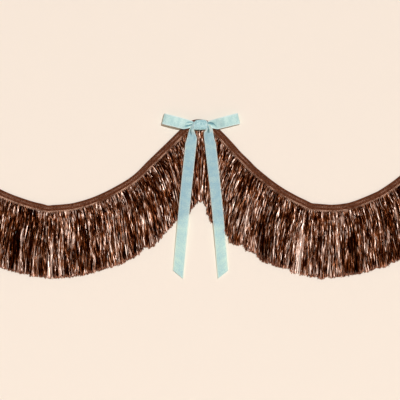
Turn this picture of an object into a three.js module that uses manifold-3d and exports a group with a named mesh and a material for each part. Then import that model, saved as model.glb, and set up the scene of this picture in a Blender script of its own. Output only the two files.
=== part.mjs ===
// Fringe bow banner: a fabric binding that falls in two swags from a raised peak, four runs of
// tinsel fringe sewn into the fold of the binding, and a ribbon bow with two long tails that
// covers the peak.
// Lengths are millimetres. The origin is on the back of the binding at the peak, on the middle
// of its width. +X is to the right, -Y is towards the viewer and +Z is up. "Depth" below is the
// distance in front of the wall that the banner hangs on, so y = -depth.

import * as THREE from "three";
import { mergeVertices } from "three/addons/utils/BufferGeometryUtils.js";
import Module from "manifold-3d";

const wasm = await Module();
wasm.setup();

// Clearances and counts that several pieces share

const seatGap = 0.3;
const cutOverrun = 2;
const walkSteps = 1600;

// The line of the header: down from a rounded peak to the lowest point of each swag, then up to
// an end that is level with the peak. The left swag is the wider one.

const swagDrop = 120;
const peakRound = 24;
const leftSwag = { side: -1, dip: 207.5, reach: 200, innerPower: 2.12, outerPower: 1.7, firstLayer: 0 };
const rightSwag = { side: 1, dip: 180.2, reach: 173, innerPower: 1.89, outerPower: 2, firstLayer: 1 };

// Binding: a tape folded over the fringe's heading, with its ends turned in

const bindingWidth = 10;
const tapeWall = 0.5;
const foldChamfer = 0.6;
const hemWidth = 1.2;
const headingThickness = 0.8;
const bindingThickness = 2 * (tapeWall + seatGap) + headingThickness;
const stationsPerSwag = 34;
const stationPower = 1.35;

// Fringe: flat strands in two staggered layers, fused to the heading tape

const headingShow = 1.4;
const strandLength = 93;
const strandSpread = 1.5;
const strandPitch = 3.05;
const strandThickness = 1.2;
const strandRootThickness = 0.7;
const strandEmbed = 0.8;
const layerGap = 1.4;
const kneeShare = 0.22;
const rootFillShare = 0.6;
const kneeFillShare = 0.6;
const tipFillShare = 0.75;
const rootLeanShare = 0.7;
const meanLeanShare = 0.36;
const peakShiftShare = 0.55;
const scatterTurn = 2.4;
const lockPitch = 14;
const lockRelief = 1.5;
const lockBeatShare = 0.62;

// Bow: the ribbon, and the knot that wraps the roots of the loops and tails

const ribbonWidth = 15.6;
const ribbonThickness = 0.8;
const pleatDepth = 0.6;
const pleatShares = [0, 1, 0, 1, 0];

const knotLength = 18.4;
const knotHeight = 14.4;
const knotDepth = 9;
const knotWall = 0.8;
const knotMiddle = -3.6;
const knotShift = -0.1;
const knotEndDrop = 1.1;
const knotEndHeightShare = 0.78;
const knotEndDepthShare = 0.86;
const knotRoundPower = 4;
const knotCornerRoom = 0.95;
const knotStationShares = [-1, -0.8, -0.45, 0, 0.45, 0.8, 1];
const knotSides = 20;

const loopInsert = 5;
const loopMouth = 0.5;
const loopOpening = 10;
const leftLoopReach = 52.2;
const rightLoopReach = 53.8;
const loopAxisDrop = 1.9;
const loopTilt = 13.5;
const loopBulge = 13.2;
const loopBackDepth = 3.3;
const loopSteps = 26;
const backLeafShares = [[0.32, 0.7], [0.62, 1]];
const loopFoldShares = [[0.9, 0.125], [1, 0.375], [0.93, 0.65]];
const frontLeafShares = [[0.64, 1], [0.36, 0.85]];
const frontEntryShare = 1.3;

const tongueRadius = 1.1;
const tongueClearance = 0.55;
const tongueInsert = 7;
const tongueSides = 12;
const tailStart = 11;
const tailSplay = 5.65;
const tailLength = 212.5;
const tailCutAngle = 37.6;
const tailNeckReach = 5.1;
const tailOpening = 9;
const tailCurl = 0.6;
const tailLift = 1.2;
const tailEndDepth = 5;
const tailSettle = 12;
const tailEase = 120;
const tailNeckSteps = 4;
const tailSteps = 13;

// Colours and finishes

const bindingFabric = new THREE.MeshStandardMaterial({ color: "#623825", roughness: 0.9, metalness: 0 });
const tinselFilm = new THREE.MeshStandardMaterial({ color: "#613f2f", roughness: 0.3, metalness: 0.4 });
const velvetRibbon = new THREE.MeshStandardMaterial({ color: "#c1ded9", roughness: 0.85, metalness: 0 });

// Small helpers

const degrees = (angle) => (angle * Math.PI) / 180;
const mix = (from, to, share) => from + (to - from) * share;

function smooth(from, to, value) {
  const share = Math.min(Math.max((value - from) / (to - from), 0), 1);
  return share * share * (3 - 2 * share);
}

// A number from -1 to 1 that looks unordered from one strand to the next
const scatter = (index) => Math.sin(index * scatterTurn);

// The strands lie in locks, which stand forward and back in turn along the header, from -1 to 1
function lockWave(along) {
  const turn = (2 * Math.PI * along) / lockPitch;
  return (Math.sin(turn) + Math.sin(turn * lockBeatShare)) / 2;
}

// A closed body from its corners and triangles, whose faces are turned outwards by the sign of
// the volume that they enclose
function body(corners, triangles) {
  const volume = triangles.reduce((sum, [a, b, c]) => {
    const across = new THREE.Vector3().crossVectors(corners[b], corners[c]);
    return sum + corners[a].dot(across);
  }, 0);
  const turned = volume < 0 ? triangles.map(([a, b, c]) => [a, c, b]) : triangles;
  const geometry = new THREE.BufferGeometry().setFromPoints(corners);
  geometry.setIndex(turned.flat());
  return geometry;
}

// A body between two grids of points. A ring's rows join up, and other grids end in a rim all
// round.
function slab(front, back, ring = false) {
  const rows = front.length;
  const columns = front[0].length;
  const at = (face, row, column) => (face * rows + (row % rows)) * columns + column;
  const triangles = [];
  const quad = (a, b, c, d) => triangles.push([a, b, c], [a, c, d]);
  const lastColumn = columns - 1;
  const spans = ring ? rows : rows - 1;
  for (let row = 0; row < spans; row += 1) {
    const below = row + 1;
    for (let column = 0; column < lastColumn; column += 1) {
      const next = column + 1;
      quad(at(0, row, column), at(0, below, column), at(0, below, next), at(0, row, next));
      quad(at(1, row, column), at(1, row, next), at(1, below, next), at(1, below, column));
    }
    quad(at(0, row, 0), at(1, row, 0), at(1, below, 0), at(0, below, 0));
    const end = lastColumn;
    quad(at(0, row, end), at(0, below, end), at(1, below, end), at(1, row, end));
  }
  for (let column = 0; column < lastColumn && !ring; column += 1) {
    const next = column + 1;
    quad(at(0, 0, column), at(0, 0, next), at(1, 0, next), at(1, 0, column));
    quad(at(0, rows - 1, column), at(1, rows - 1, column), at(1, rows - 1, next), at(0, rows - 1, next));
  }
  return body([...front.flat(), ...back.flat()], triangles);
}

// A body through a row of sections with the same number of corners
function prism(sections) {
  const sides = sections[0].length;
  const last = (sections.length - 1) * sides;
  const triangles = [];
  for (let row = 0; row < last; row += sides) {
    for (let side = 0; side < sides; side += 1) {
      const next = (side + 1) % sides;
      triangles.push([row + side, row + next, row + sides + next]);
      triangles.push([row + side, row + sides + next, row + sides + side]);
    }
  }
  for (let side = 1; side < sides - 1; side += 1) {
    triangles.push([0, side + 1, side], [last, last + side, last + side + 1]);
  }
  return body(sections.flat(), triangles);
}

function toSolid(geometry) {
  const bare = geometry.clone();
  bare.deleteAttribute("normal");
  bare.deleteAttribute("uv");
  const merged = mergeVertices(bare);
  return new wasm.Manifold(new wasm.Mesh({
    numProp: 3,
    vertProperties: new Float32Array(merged.attributes.position.array),
    triVerts: new Uint32Array(merged.index.array),
  }));
}

function toGeometry(solid) {
  const mesh = solid.getMesh();
  const geometry = new THREE.BufferGeometry();
  geometry.setAttribute("position", new THREE.BufferAttribute(mesh.vertProperties, mesh.numProp));
  geometry.setIndex(new THREE.BufferAttribute(mesh.triVerts, 1));
  return geometry;
}

const banner = new THREE.Group();

function addPiece(name, geometry, material) {
  const piece = new THREE.Mesh(geometry, material);
  piece.name = name;
  banner.add(piece);
}

// The header's line as a walk outwards from the peak, measured along the curve

function headerHeight(swag, across) {
  if (across >= swag.dip) {
    return -swagDrop * (1 - ((across - swag.dip) / swag.reach) ** swag.outerPower);
  }
  const rounded = (distance) => Math.hypot(distance, peakRound) - peakRound;
  return -swagDrop * (1 - (1 - rounded(across) / rounded(swag.dip)) ** swag.innerPower);
}

for (const swag of [leftSwag, rightSwag]) {
  swag.walk = [{ across: 0, height: 0, length: 0 }];
  swag.dipLength = 0;
  for (let step = 1; step <= walkSteps; step += 1) {
    const before = swag.walk[step - 1];
    const across = ((swag.dip + swag.reach) * step) / walkSteps;
    const height = headerHeight(swag, across);
    const length = before.length + Math.hypot(across - before.across, height - before.height);
    swag.walk.push({ across, height, length });
    swag.dipLength = across <= swag.dip ? length : swag.dipLength;
  }
  swag.length = swag.walk[walkSteps].length;
}

// The place on the header at a signed length from the peak, negative to the left, with its
// slope and its upward normal
function onHeader(along) {
  const swag = along < 0 ? leftSwag : rightSwag;
  const target = Math.min(Math.abs(along), swag.length);
  let step = 1;
  while (step < walkSteps && swag.walk[step].length < target) {
    step += 1;
  }
  const before = swag.walk[step - 1];
  const after = swag.walk[step];
  const share = (target - before.length) / (after.length - before.length);
  const slope = swag.side * Math.atan2(after.height - before.height, after.across - before.across);
  return {
    x: swag.side * mix(before.across, after.across, share),
    z: mix(before.height, after.height, share),
    slope,
    up: new THREE.Vector3(-Math.sin(slope), 0, Math.cos(slope)),
  };
}

// A point beside the header's line: so far up its normal, and so deep in front of the wall
function offHeader(place, rise, depth) {
  return new THREE.Vector3(place.x, -depth, place.z).addScaledVector(place.up, rise);
}

// Stations lie closer together round the tight peak
const headerStations = [];
for (let step = -stationsPerSwag; step <= stationsPerSwag; step += 1) {
  const swag = step < 0 ? leftSwag : rightSwag;
  headerStations.push(swag.side * swag.length * (Math.abs(step) / stationsPerSwag) ** stationPower);
}

// A strip that follows the header between two lengths, through a list of [rise, front depth,
// back depth] across it
function headerStrip(from, to, profile) {
  const between = headerStations.filter((along) => along > from && along < to);
  const places = [from, ...between, to].map(onHeader);
  const face = (side) => places.map((place) => (
    profile.map((row) => offHeader(place, row[0], row[side]))
  ));
  return slab(face(1), face(2));
}

// Binding, hollowed from below so that the fold stays closed along the top and at both ends.
// It is in three runs, so that each one's collision pieces stay close to its curve. They meet
// at the lowest points of the swags, where the fringe's runs meet too.

const halfGap = seatGap / 2;
const bindingHalf = bindingWidth / 2;
const chamferHeight = bindingHalf - foldChamfer;
const hollowTop = bindingHalf - tapeWall;
const hollowFront = bindingThickness - tapeWall;
const hollow = toSolid(headerStrip(hemWidth - leftSwag.length, rightSwag.length - hemWidth, [
  [-bindingHalf - cutOverrun, hollowFront, tapeWall],
  [hollowTop, hollowFront, tapeWall],
]));

function bindingRun(name, from, to) {
  const foldedTape = headerStrip(from, to, [
    [-bindingHalf, bindingThickness, 0],
    [chamferHeight, bindingThickness, 0],
    [bindingHalf, bindingThickness - foldChamfer, 0],
  ]);
  addPiece(name, toGeometry(toSolid(foldedTape).subtract(hollow)), bindingFabric);
}

bindingRun("binding_left", -leftSwag.length, -leftSwag.dipLength - halfGap);
bindingRun("binding_peak", halfGap - leftSwag.dipLength, rightSwag.dipLength - halfGap);
bindingRun("binding_right", rightSwag.dipLength + halfGap, rightSwag.length);

// Fringe strands. Each leaves the heading nearly square to it and then falls closer to
// straight down. The lean is held back beside the peak, so that the two sides do not cross.

const headingDepth = bindingThickness / 2;
const headingBottom = -bindingHalf - headingShow;
const headingTop = hollowTop - seatGap;
const backLayerDepth = tapeWall + strandThickness;
const frontLayerDepth = backLayerDepth + strandThickness + layerGap;
const fringeFront = frontLayerDepth + (strandThickness + lockRelief) / 2;

function strandLine(along, length) {
  const place = onHeader(along);
  const root = offHeader(place, headingBottom, headingDepth);
  const fullShift = length * Math.abs(Math.sin(meanLeanShare * place.slope));
  const peakLimit = peakShiftShare * Math.abs(root.x);
  const leansInwards = place.slope * root.x < 0;
  const held = leansInwards && fullShift > peakLimit ? peakLimit / fullShift : 1;
  const rootLean = held * rootLeanShare * place.slope;
  const tipLean = (held * place.slope * (meanLeanShare - rootLeanShare * kneeShare)) / (1 - kneeShare);
  const fall = (from, lean, share) => new THREE.Vector3(
    from.x + Math.sin(lean) * length * share,
    from.y,
    from.z - Math.cos(lean) * length * share,
  );
  const knee = fall(root, rootLean, kneeShare);
  const tip = fall(knee, tipLean, 1 - kneeShare);
  return { place, root, knee, tip, rootLean, tipLean };
}

// Each strand is flat in front with a low ridge behind. The strands of a swag are counted
// outwards from the peak, so that the two layers also alternate across the lowest point. The
// swags start in different layers, so that they alternate across the peak too.
function strand(swag, start, pitch, index, firstIndex) {
  const along = swag.side * (start + pitch * (index - firstIndex + 1 / 2));
  const length = strandLength + strandSpread * scatter(index);
  const line = strandLine(along, length);
  const before = strandLine(along - pitch, length);
  const after = strandLine(along + pitch, length);
  const inFront = (index + swag.firstLayer) % 2 === 1;
  const depth = (inFront ? frontLayerDepth : backLayerDepth) + (lockRelief / 2) * lockWave(along);
  const spacing = (key, lean) => {
    const gap = new THREE.Vector3().subVectors(after[key], before[key]);
    return Math.abs(gap.x * Math.cos(lean) + gap.z * Math.sin(lean));
  };
  const section = (point, lean, width, thickness, middle) => {
    const half = new THREE.Vector3(Math.cos(lean), 0, Math.sin(lean)).multiplyScalar(width / 2);
    const corner = (sign, face) => point.clone().addScaledVector(half, sign)
      .setY(-(middle + (face * thickness) / 2));
    return [corner(-1, 1), corner(1, 1), corner(0, -1)];
  };
  const rootWidth = (rootFillShare * spacing("root", line.place.slope)) / 2;
  const kneeWidth = kneeFillShare * spacing("knee", line.rootLean);
  const tipWidth = tipFillShare * spacing("tip", line.tipLean);
  const embedded = line.root.clone().addScaledVector(line.place.up, strandEmbed);
  const kneeLean = (line.rootLean + line.tipLean) / 2;
  return prism([
    section(embedded, line.place.slope, rootWidth, strandRootThickness, headingDepth),
    section(line.knee, kneeLean, kneeWidth, strandThickness, depth),
    section(line.tip, line.tipLean, tipWidth, strandThickness, depth),
  ]);
}

function fringe(name, swag, start, end, firstIndex) {
  const count = Math.round((end - start) / strandPitch);
  const pitch = (end - start) / count;
  const heading = headerStrip(...[swag.side * start, swag.side * end].sort((a, b) => a - b), [
    [headingBottom, headingDepth + headingThickness / 2, headingDepth - headingThickness / 2],
    [headingTop, headingDepth + headingThickness / 2, headingDepth - headingThickness / 2],
  ]);
  const parts = [toSolid(heading)];
  for (let index = firstIndex; index < firstIndex + count; index += 1) {
    parts.push(toSolid(strand(swag, start, pitch, index, firstIndex)));
  }
  addPiece(name, toGeometry(wasm.Manifold.union(parts)), tinselFilm);
  console.log(`${name}: ${count} strands`);
  return count;
}

for (const [side, swag] of [["left", leftSwag], ["right", rightSwag]]) {
  const innerEnd = swag.dipLength - halfGap;
  const outerEnd = swag.length - hemWidth - seatGap;
  const inner = fringe(`fringe_${side}_inner`, swag, halfGap, innerEnd, 0);
  fringe(`fringe_${side}_outer`, swag, swag.dipLength + halfGap, outerEnd, inner);
}

// Knot: a band of ribbon wrapped round the middle of the bow, lower and flatter at its ends

const knotBack = bindingThickness + seatGap;
const knotHalfLength = knotLength / 2;

function knotSection(share, wall) {
  const fade = Math.abs(share) ** 2;
  const halfHeight = (knotHeight / 2) * mix(1, knotEndHeightShare, fade) - wall;
  const fullDepth = knotDepth * mix(1, knotEndDepthShare, fade);
  const middle = knotMiddle - knotEndDrop * fade;
  const squared = (value) => Math.sign(value) * Math.abs(value) ** (2 / knotRoundPower);
  const points = [];
  for (let side = 0; side < knotSides; side += 1) {
    const angle = (2 * Math.PI * side) / knotSides;
    points.push(new THREE.Vector3(
      knotShift + knotHalfLength * share,
      -(knotBack + fullDepth / 2 + (fullDepth / 2 - wall) * squared(Math.cos(angle))),
      middle + halfHeight * squared(Math.sin(angle)),
    ));
  }
  return points;
}

// Rows go round the knot and columns along it
function knotFace(wall) {
  const columns = knotStationShares.map((share) => knotSection(share, wall));
  return columns[0].map((_, side) => columns.map((column) => column[side]));
}

addPiece("bow_knot", slab(knotFace(0), knotFace(knotWall), true), velvetRibbon);

// The hollow at the knot's ends, which the loops' necks and the tails' rolled roots share

const endMiddle = knotMiddle - knotEndDrop;
const endHalfHeight = (knotHeight / 2) * knotEndHeightShare - knotWall;
const pivotDepth = knotBack + knotWall + tongueClearance + tongueRadius;
const pivotHeight = endMiddle - endHalfHeight + knotCornerRoom + tongueRadius;
const neckBottom = pivotHeight + tongueRadius + seatGap;
const neckTop = endMiddle + endHalfHeight - knotCornerRoom;
const leafRoom = knotWall + knotCornerRoom + ribbonThickness / 2;
const neckBackDepth = knotBack + leafRoom;
const neckFrontDepth = knotBack + knotDepth * knotEndDepthShare - leafRoom;
const ribbonHalf = ribbonWidth / 2;
const lastPleat = pleatShares.length - 1;
const knotEnd = (side) => knotHalfLength + side * knotShift;
const tailNeckOuter = tailStart + tailNeckReach + seatGap;

// Bow loop: the ribbon runs out and up as a back leaf, turns over at its outer fold and comes
// back as a fuller front leaf. Both leaves are gathered where they enter the knot. The upper
// edge opens as it leaves the knot, and the lower edge once it has passed the tail's neck.

const loopAxisHeight = knotMiddle - loopAxisDrop;
const loopSlope = Math.tan(degrees(loopTilt));

function bowLoop(name, side, loopReach) {
  const start = knotEnd(side) - loopInsert;
  const length = loopReach - start;
  const entryShare = loopInsert / length;
  const mouth = loopInsert + loopMouth;
  const pastNeck = tailNeckOuter + seatGap - start;
  const between = (shares, from, to) => shares.map(([out, way]) => [out, mix(from, to, way)]);
  const outline = new THREE.CatmullRomCurve3([
    [0, neckBackDepth],
    [entryShare, neckBackDepth],
    ...between(backLeafShares, neckBackDepth, loopBackDepth),
    ...between(loopFoldShares, loopBackDepth, loopBulge),
    ...between(frontLeafShares, neckFrontDepth, loopBulge),
    [entryShare * frontEntryShare, neckFrontDepth],
    [0, neckFrontDepth],
  ].map(([out, depth]) => new THREE.Vector3(out * length, depth, 0)), false, "centripetal");
  const outer = [];
  const inner = [];
  for (let step = 0; step <= loopSteps; step += 1) {
    const spot = outline.getPointAt(step / loopSteps);
    const run = outline.getTangentAt(step / loopSteps);
    const opened = smooth(mouth, loopInsert + loopOpening, spot.x);
    const lowerOpened = smooth(pastNeck, pastNeck + loopOpening, spot.x);
    const beyond = Math.max(spot.x - mouth, 0);
    const tilt = degrees(loopTilt) * opened;
    const axis = loopAxisHeight + loopSlope * beyond;
    const upper = mix(neckTop - loopAxisHeight, ribbonHalf, opened);
    const lower = mix(neckBottom - loopAxisHeight, -ribbonHalf, lowerOpened);
    const place = (thick, column) => {
      const pleat = pleatDepth * (1 - opened) * pleatShares[column];
      const rise = mix(lower, upper, column / lastPleat);
      const out = start + spot.x + run.y * (thick - pleat);
      return new THREE.Vector3(
        side * (out - Math.sin(tilt) * rise),
        -(spot.y - run.x * (thick - pleat)),
        axis + Math.cos(tilt) * rise,
      );
    };
    outer.push(pleatShares.map((_, column) => place(ribbonThickness / 2, column)));
    inner.push(pleatShares.map((_, column) => place(-ribbonThickness / 2, column)));
  }
  addPiece(name, slab(outer, inner), velvetRibbon);
}

bowLoop("bow_loop_left", -1, leftLoopReach);
bowLoop("bow_loop_right", 1, rightLoopReach);

// Bow tail: a rolled root lies in the knot along the line it turns on. Outside the knot the
// ribbon drops from it, opens to its full width once it is clear of the knot's swing, hangs
// over the fringe and ends in a slanted cut.

const tailDepth = fringeFront + tailLift + tailCurl + ribbonThickness / 2;
const swingRadius = knotBack + knotDepth - pivotDepth + 2 * seatGap;
const tailOuterLength = tailLength - ribbonWidth * Math.tan(degrees(tailCutAngle));

function bowTail(name, side) {
  const neckInner = knotEnd(side) + seatGap;
  const front = [];
  const back = [];
  for (let step = -tailNeckSteps; step <= tailSteps; step += 1) {
    const place = (face, column) => {
      const acrossShare = column / lastPleat;
      const length = mix(tailLength, tailOuterLength, acrossShare);
      const neckShare = Math.min(step, 0) / tailNeckSteps;
      const freeShare = (Math.max(step, 0) / tailSteps) ** stationPower;
      const down = swingRadius * (1 + neckShare) + (length - swingRadius) * freeShare;
      const axis = tailStart + down * Math.sin(degrees(tailSplay));
      const opened = smooth(swingRadius, swingRadius + tailOpening, down);
      const outerOpened = smooth(0, swingRadius + tailOpening, down);
      const inner = mix(neckInner, axis - ribbonHalf, opened);
      const outer = mix(tailNeckOuter, axis + ribbonHalf, outerOpened);
      const settled = smooth(0, tailSettle, down);
      const eased = smooth(length - tailEase, length, down);
      const bow = tailCurl * (1 - (2 * acrossShare - 1) ** 2) * settled;
      const pleat = pleatDepth * pleatShares[column] * settled * (1 - opened);
      const hang = mix(mix(pivotDepth, tailDepth - tailCurl, settled), tailEndDepth, eased);
      return new THREE.Vector3(
        side * mix(inner, outer, acrossShare),
        -(hang + bow + pleat + (face * ribbonThickness) / 2),
        pivotHeight - down * Math.cos(degrees(tailSplay)),
      );
    };
    front.push(pleatShares.map((_, column) => place(1, column)));
    back.push(pleatShares.map((_, column) => place(-1, column)));
  }
  const rollLength = tailNeckOuter - knotEnd(side) + tongueInsert;
  const roll = new THREE.CylinderGeometry(tongueRadius, tongueRadius, rollLength, tongueSides);
  roll.rotateZ(Math.PI / 2);
  roll.translate(side * (tailNeckOuter - rollLength / 2), -pivotDepth, pivotHeight);
  addPiece(name, toGeometry(toSolid(slab(front, back)).add(toSolid(roll))), velvetRibbon);
}

bowTail("bow_tail_left", -1);
bowTail("bow_tail_right", 1);

console.log(`tails turn on the line y = ${-pivotDepth}, z = ${pivotHeight}`);

export default banner;
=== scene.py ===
# %% [markdown]
# # Fringe bow banner
# A wall banner made of three sewn materials: a woven tape folded over the top, a curtain of
# metallised film strands that hangs from the fold, and a velvet ribbon bow over the peak. The
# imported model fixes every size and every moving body, and this script dresses it. Lengths are
# metres, +X is right, -Y is towards the viewer and +Z is up. The wall is the plane y = 0.

# %% Load the fixed frame
import math

import bpy
import numpy as np
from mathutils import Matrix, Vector


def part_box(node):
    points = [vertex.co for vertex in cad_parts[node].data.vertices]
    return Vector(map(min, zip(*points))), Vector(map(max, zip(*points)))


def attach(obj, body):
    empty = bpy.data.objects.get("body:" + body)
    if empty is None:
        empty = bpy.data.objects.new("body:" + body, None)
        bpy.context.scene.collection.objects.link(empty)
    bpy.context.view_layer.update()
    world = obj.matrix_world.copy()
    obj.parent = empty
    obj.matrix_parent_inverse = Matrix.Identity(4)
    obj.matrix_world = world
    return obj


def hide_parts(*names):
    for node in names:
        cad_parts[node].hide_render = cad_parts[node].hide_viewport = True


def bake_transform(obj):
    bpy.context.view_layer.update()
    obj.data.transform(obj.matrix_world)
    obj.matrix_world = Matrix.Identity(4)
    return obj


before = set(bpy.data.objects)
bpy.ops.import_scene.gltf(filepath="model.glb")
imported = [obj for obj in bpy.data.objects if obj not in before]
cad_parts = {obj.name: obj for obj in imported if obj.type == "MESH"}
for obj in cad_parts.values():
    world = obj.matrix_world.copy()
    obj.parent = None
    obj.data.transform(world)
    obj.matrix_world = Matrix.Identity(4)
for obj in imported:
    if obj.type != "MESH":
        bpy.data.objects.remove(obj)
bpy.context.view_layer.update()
MM = 0.001

# %% [markdown]
# ## The view
# The photograph was taken square on. A long lens from about two metres keeps the banner flat
# in the picture, and one pixel of the photograph covers 1.4 mm of the wall.

# %% Camera
PIXEL = 1.4 * MM
PICTURE_PIXELS = 400
VIEW_DISTANCE = 2200 * MM
VIEW_X = -0.7 * MM
VIEW_Z = -108.5 * MM
SENSOR = 36

camera_data = bpy.data.cameras.new("camera")
camera_data.sensor_width = SENSOR
camera_data.lens = SENSOR * VIEW_DISTANCE / (PICTURE_PIXELS * PIXEL)
camera = bpy.data.objects.new("camera", camera_data)
camera.location = (VIEW_X, -VIEW_DISTANCE, VIEW_Z)
camera.rotation_euler = (math.radians(90), 0, 0)
bpy.context.scene.collection.objects.link(camera)
bpy.context.scene.camera = camera
print("lens:", round(camera_data.lens, 1), "mm")

# %% [markdown]
# ## Sums on sockets
# Materials and Geometry Nodes are both node trees. One small class holds a tree, and another
# wraps a socket, so that sums can be written as Python expressions: each operator adds the
# Math node that it stands for.


# %% Node helpers
class Wire:
    """A socket of a node tree. Sums on it add Math nodes to the tree."""

    def __init__(self, board, socket):
        self.board = board
        self.socket = socket

    def math(self, operation, *others):
        node = self.board.add("ShaderNodeMath", {"operation": operation})
        for index, value in enumerate((self, *others)):
            self.board.plug(node.inputs[index], value)
        return Wire(self.board, node.outputs[0])

    def __add__(self, other):
        return self.math("ADD", other)

    def __sub__(self, other):
        return self.math("SUBTRACT", other)

    def __mul__(self, other):
        return self.math("MULTIPLY", other)

    def __truediv__(self, other):
        return self.math("DIVIDE", other)

    def __rsub__(self, other):
        return self.board.number(other).math("SUBTRACT", self)

    def __neg__(self):
        return self.math("MULTIPLY", -1.0)

    __radd__ = __add__
    __rmul__ = __mul__

    def sin(self):
        return self.math("SINE")

    def cos(self):
        return self.math("COSINE")

    def at_least(self, low):
        return self.math("MAXIMUM", low)

    def at_most(self, high):
        return self.math("MINIMUM", high)


class Board:
    """A node tree that nodes are added to: their settings first, and then their inputs."""

    def __init__(self, tree):
        self.tree = tree

    def add(self, kind, settings=None, inputs=None):
        node = self.tree.nodes.new(kind)
        for name, value in (settings or {}).items():
            if name == "stops":
                self.set_stops(node.color_ramp, value)
            else:
                setattr(node, name, value)
        for name, value in (inputs or {}).items():
            self.plug(node.inputs[name], value)
        return node

    def set_stops(self, ramp, stops):
        while len(ramp.elements) < len(stops):
            ramp.elements.new(1.0)
        for element, (place, colour) in zip(ramp.elements, stops):
            element.position = place
            element.color = (*colour, 1.0)

    def plug(self, socket, value):
        if isinstance(value, Wire):
            self.tree.links.new(value.socket, socket)
        else:
            socket.default_value = value

    def wire(self, kind, output, settings=None, inputs=None):
        return Wire(self, self.add(kind, settings, inputs).outputs[output])

    def number(self, value):
        return self.wire("ShaderNodeMath", 0, {"operation": "ADD"}, {0: value, 1: 0.0})

    def combine(self, x, y, z):
        return self.wire("ShaderNodeCombineXYZ", 0, None, {0: x, 1: y, 2: z})

    def split(self, vector):
        node = self.add("ShaderNodeSeparateXYZ", None, {0: vector})
        return [Wire(self, output) for output in node.outputs]

    def noise(self, first, second, detail=1.0):
        """Smooth noise from 0 to 1 over two values."""
        inputs = {"Vector": self.combine(first, second, 0.0), "Scale": 1.0, "Detail": detail}
        return self.wire("ShaderNodeTexNoise", "Fac", {"noise_dimensions": "2D"}, inputs)

    def vector(self, operation, first, second):
        return self.wire("ShaderNodeVectorMath", 0, {"operation": operation}, {0: first, 1: second})

    def step(self, value, start, end):
        """0 below start, 1 above end, and smooth between them."""
        limits = {"Value": value, "From Min": start, "From Max": end}
        return self.wire("ShaderNodeMapRange", 0, {"interpolation_type": "SMOOTHSTEP"}, limits)


# %% [markdown]
# ## The line of the header
# The banner falls in two swags from a rounded peak. Each swag drops to its lowest point on one
# power curve and rises on another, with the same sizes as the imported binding. Everything that
# is sewn to the header is placed by its length along this line, negative to the left.

# %% Header line
SWAG_DROP = 120 * MM
PEAK_ROUND = 24 * MM
LEFT_SWAG = (-1, 207.5 * MM, 200 * MM, 2.12, 1.7)
RIGHT_SWAG = (1, 180.2 * MM, 173 * MM, 1.89, 2.0)
BINDING_WIDTH = 10 * MM
BINDING_THICKNESS = 2.4 * MM
WALK_STEPS = 4000
UNEVEN_SMOOTH = 3 * MM

# Where the sewn tape leaves the even curve: place across and height, in millimetres
UNEVEN = (
    (-300, 0.0), (-282, -0.4), (-268, 0.0), (-250, 0.5), (-232, 0.1), (-222, 0.0), (-214, -1.5),
    (-206, -0.3), (-190, 0.0), (-180, -0.2), (-168, 0.3), (-134, 0.6), (-118, 0.2),
    (-104, -0.8), (-92, -1.6), (-84, -0.9), (-72, 1.2), (-58, 1.6), (-40, 0.8), (-20, 0.3),
    (-9, 0.9), (-3, -0.4), (4, -0.8), (10, -0.2), (20, 0.0), (44, 0.0), (53, -0.9), (63, 0.0),
    (74, -0.7), (86, 0.1), (104, 0.5), (128, 0.9), (141, 0.4), (148, -0.3), (154, -1.8),
    (160, -0.6), (167, 0.1), (175, 0.4), (182, 0.0), (200, -0.1), (209, -0.4), (220, 0.2),
    (231, 0.6), (242, 0.3), (250, -0.4), (262, -0.1), (290, -0.1), (330, 0.0),
)


def rounded(distance):
    return np.hypot(distance, PEAK_ROUND) - PEAK_ROUND


def read_table(rows, x):
    """The value at x of a table of (place, value) rows in millimetres."""
    places, values = np.transpose(rows) * MM
    return np.interp(x, places, values)


def uneven_at(x):
    shifts = np.linspace(-UNEVEN_SMOOTH, UNEVEN_SMOOTH, 9)
    return np.mean([read_table(UNEVEN, x + shift) for shift in shifts], axis=0)


def travelled(steps):
    """How far one has come before each step, and at the end."""
    return np.concatenate([[0], np.cumsum(steps)])


def walk_of(side, dip, reach, inner_power, outer_power):
    across = np.linspace(0, dip + reach, WALK_STEPS)
    inner = 1 - np.clip(1 - rounded(across) / rounded(dip), 0, None) ** inner_power
    outer = 1 - (np.clip(across - dip, 0, None) / reach) ** outer_power
    height = -SWAG_DROP * np.where(across < dip, inner, outer) + uneven_at(side * across)
    along = travelled(np.hypot(np.diff(across), np.diff(height)))
    slope = side * np.arctan2(np.gradient(height), np.gradient(across))
    return side * along, side * across, height, slope, np.interp(dip, across, along)


left_walk = walk_of(*LEFT_SWAG)
right_walk = walk_of(*RIGHT_SWAG)
header_walk = [np.concatenate([left_walk[i][:0:-1], right_walk[i]]) for i in range(4)]
LEFT_END = header_walk[0][0]
RIGHT_END = header_walk[0][-1]
LEFT_DIP = -left_walk[4]
RIGHT_DIP = right_walk[4]


def on_header(along):
    """x, z and slope of the header's middle line at these lengths along it."""
    along = np.asarray(along, float)
    return [np.interp(along, header_walk[0], values) for values in header_walk[1:]]


def off_header(along, rise, depth):
    """Points beside the header: so far up its normal, and so deep in front of the wall."""
    x, z, slope = on_header(along)
    return np.stack(
        [x - np.sin(slope) * rise, np.zeros_like(x) - depth, z + np.cos(slope) * rise], -1
    )


BINDING_NODES = ("binding_left", "binding_peak", "binding_right")
binding_low = np.min([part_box(node)[0] for node in BINDING_NODES], axis=0)
binding_high = np.max([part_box(node)[1] for node in BINDING_NODES], axis=0)
print("header from", round(LEFT_END, 4), "to", round(RIGHT_END, 4), "m along its line")
print("binding in the packed model:", binding_low.round(4), "to", binding_high.round(4))

# %% [markdown]
# ## Meshes from grids
# The tape, the ribbons and the backdrop are all grids of points. One helper turns a grid into
# a mesh with its own UV map in metres, so that a weave keeps its real size on a curved piece.


# %% Mesh helpers
def new_piece(name, mesh, material):
    piece = bpy.data.objects.new(name, mesh)
    bpy.context.scene.collection.objects.link(piece)
    mesh.materials.append(material)
    return piece


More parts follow.
